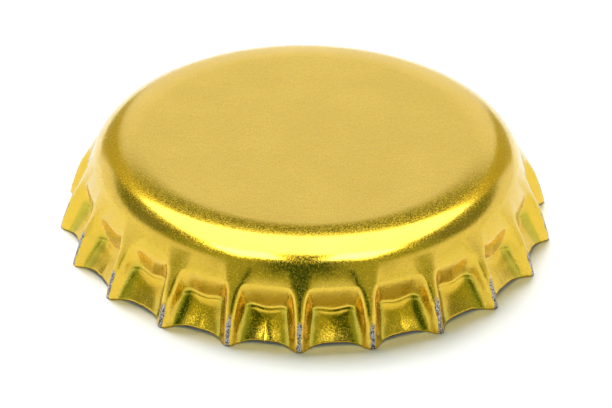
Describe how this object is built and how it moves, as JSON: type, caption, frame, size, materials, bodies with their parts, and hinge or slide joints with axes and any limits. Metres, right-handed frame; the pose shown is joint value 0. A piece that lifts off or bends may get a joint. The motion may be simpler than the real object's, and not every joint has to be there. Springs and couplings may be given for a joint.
{
  "type": "bottle cap",
  "caption": "Round pressed metal cap with a flat top, a ridged and crimped skirt and a sealing liner inside, for closing the mouth of a glass bottle.",
  "frame": {"origin": "on the cap's axis, at the level of the ridges' feet", "axes": "+Z along the axis, out of the flat top; one ridge points along -Y, the front"},
  "size_m": [0.0308, 0.0306, 0.0062],
  "materials": {
    "gold_tinplate": "gold lacquer on bright tinplate, glossy, worn to bare metal on the ridges' feet",
    "liner_polymer": "off-white moulded sealing compound, satin"
  },
  "bodies": {
    "root": {"crown_shell": "gold_tinplate", "sealing_liner": "liner_polymer"}
  },
  "joints": []
}
